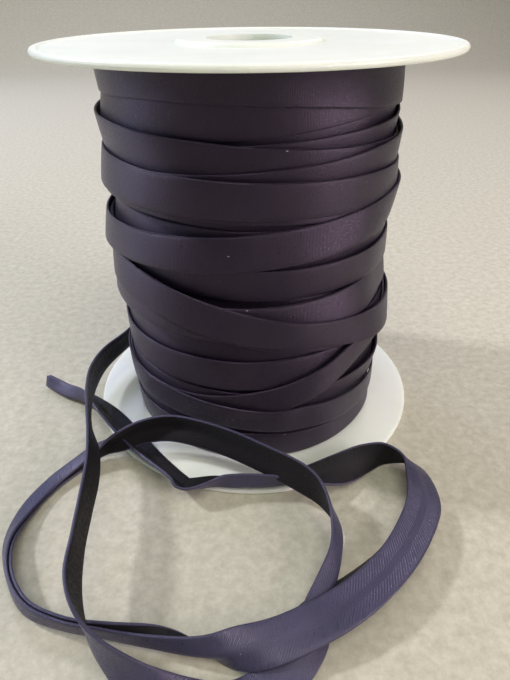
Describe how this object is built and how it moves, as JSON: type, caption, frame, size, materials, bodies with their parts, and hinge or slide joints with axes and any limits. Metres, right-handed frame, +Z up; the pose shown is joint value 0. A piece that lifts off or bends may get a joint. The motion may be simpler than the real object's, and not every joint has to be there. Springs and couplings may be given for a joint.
{
  "type": "reel of bias binding",
  "caption": "White plastic reel standing on its flange, wound full with dark satin bias binding, with one loose end lying in loops around its foot.",
  "frame": {"origin": "middle of the footprint, on the surface that the reel stands on", "axes": "+Z up along the reel's axis, -Y towards the loose end's loops (the front), +X to the right; the reel's axis is at x 13.0 mm, y 39.3 mm"},
  "size_m": [0.171, 0.2236, 0.1484],
  "materials": {
    "plastic": "smooth moulded white plastic, slightly translucent",
    "satin": "dark aubergine satin, soft sheen"
  },
  "bodies": {
    "root": {"flange_top": "plastic", "flange_bottom": "plastic", "core": "plastic", "winding": "satin", "loose_end": "satin"}
  },
  "joints": []
}
